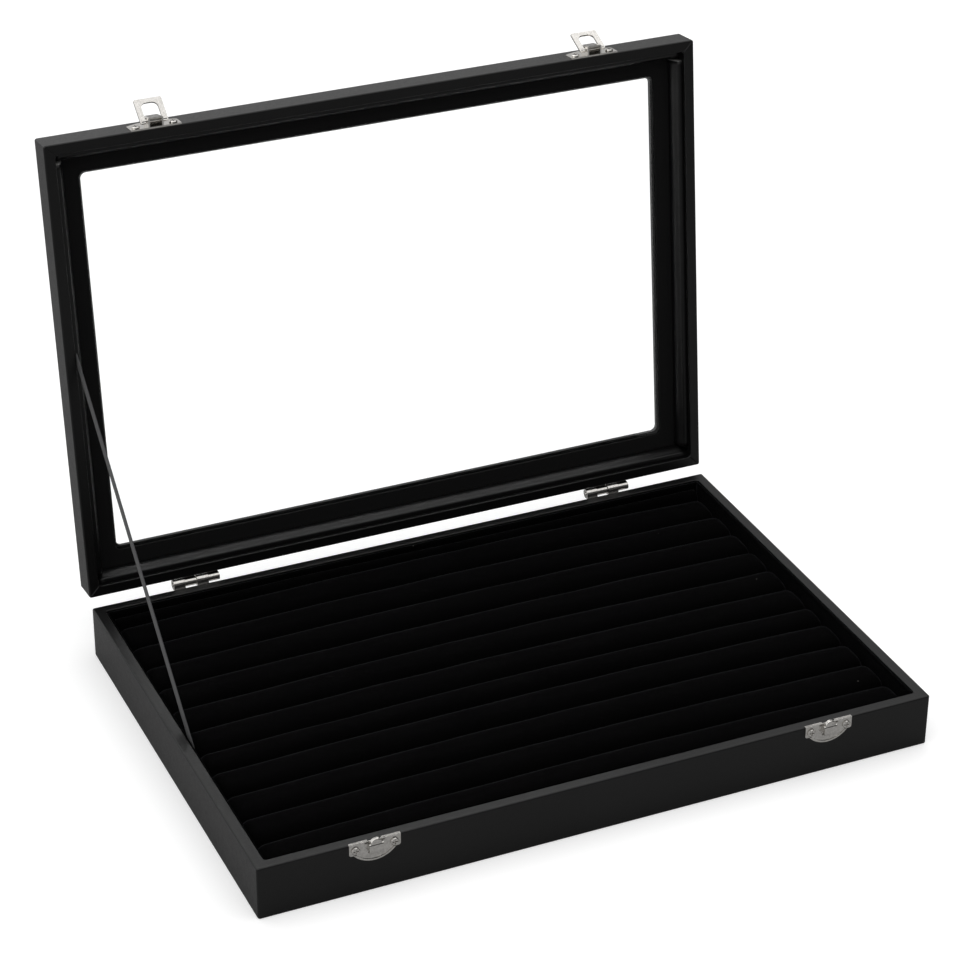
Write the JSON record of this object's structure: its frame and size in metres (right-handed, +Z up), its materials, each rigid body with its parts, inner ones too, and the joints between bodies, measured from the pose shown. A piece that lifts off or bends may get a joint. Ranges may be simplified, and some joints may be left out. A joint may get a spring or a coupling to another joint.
{
  "type": "ring display box",
  "caption": "Shallow glazed display box with padded ring rolls; the window lid swings on rear hinges to a ribbon stay and shuts with front loop catches.",
  "frame": {"origin": "centre of the underside of the base", "axes": "+X along the hinge side, to the right seen from the front; -Y to the front; +Z up"},
  "size_m": [0.35, 0.2904, 0.2812],
  "materials": {
    "leatherette": "fine-grained satin black",
    "velvet": "short-pile matt black",
    "board": "plain fibreboard",
    "glass": "clear",
    "nickel": "bright nickel plate",
    "ribbon": "woven charcoal ribbon"
  },
  "bodies": {
    "base": {"base_back_liner": "velvet", "base_back_wall": "leatherette", "base_bottom_board": "leatherette", "base_front_liner": "velvet", "base_front_wall": "leatherette", "base_left_liner": "velvet", "base_left_wall": "leatherette", "base_right_liner": "velvet", "base_right_wall": "leatherette", "catch_plate_left": "nickel", "catch_plate_right": "nickel", "catch_screws": "nickel", "hinge_base_leaf_left": "nickel", "hinge_base_leaf_right": "nickel", "hinge_base_screws": "nickel", "hinge_pin_left": "nickel", "hinge_pin_right": "nickel", "ribbon_stay": "ribbon", "ring_roll_01": "velvet", "ring_roll_02": "velvet", "ring_roll_03": "velvet", "ring_roll_04": "velvet", "ring_roll_05": "velvet", "ring_roll_06": "velvet", "ring_roll_07": "velvet", "ring_roll_08": "velvet", "ring_roll_09": "velvet", "ring_roll_10": "velvet", "ring_roll_11": "velvet", "roll_back_strip": "velvet", "roll_tray_board": "board"},
    "lid": {"glass_pane": "glass", "hasp_plate_left": "nickel", "hasp_plate_right": "nickel", "hasp_screws": "nickel", "hinge_lid_leaf_left": "nickel", "hinge_lid_leaf_right": "nickel", "hinge_lid_screws": "nickel", "lid_back_rail": "leatherette", "lid_back_strip": "leatherette", "lid_front_rail": "leatherette", "lid_front_strip": "leatherette", "lid_left_rail": "leatherette", "lid_left_strip": "leatherette", "lid_right_rail": "leatherette", "lid_right_strip": "leatherette", "window_frame_card": "velvet"},
    "loop_left": {"hasp_loop_left": "nickel"},
    "loop_right": {"hasp_loop_right": "nickel"}
  },
  "joints": [
    {"name": "lid_hinge", "type": "hinge", "parent": "base", "child": "lid", "pos_m": [0, 0.1229, 0.0292], "axis": [1, 0, 0], "range_deg": [0, 96.7], "deforming": ["ribbon_stay"]},
    {"name": "hasp_loop_left", "type": "hinge", "parent": "lid", "child": "loop_left", "pos_m": [-0.118, 0.1541, 0.27333], "axis": [1, 0, 0], "range_deg": [0, 143]},
    {"name": "hasp_loop_right", "type": "hinge", "parent": "lid", "child": "loop_right", "pos_m": [0.118, 0.1541, 0.27333], "axis": [1, 0, 0], "range_deg": [0, 158]}
  ]
}
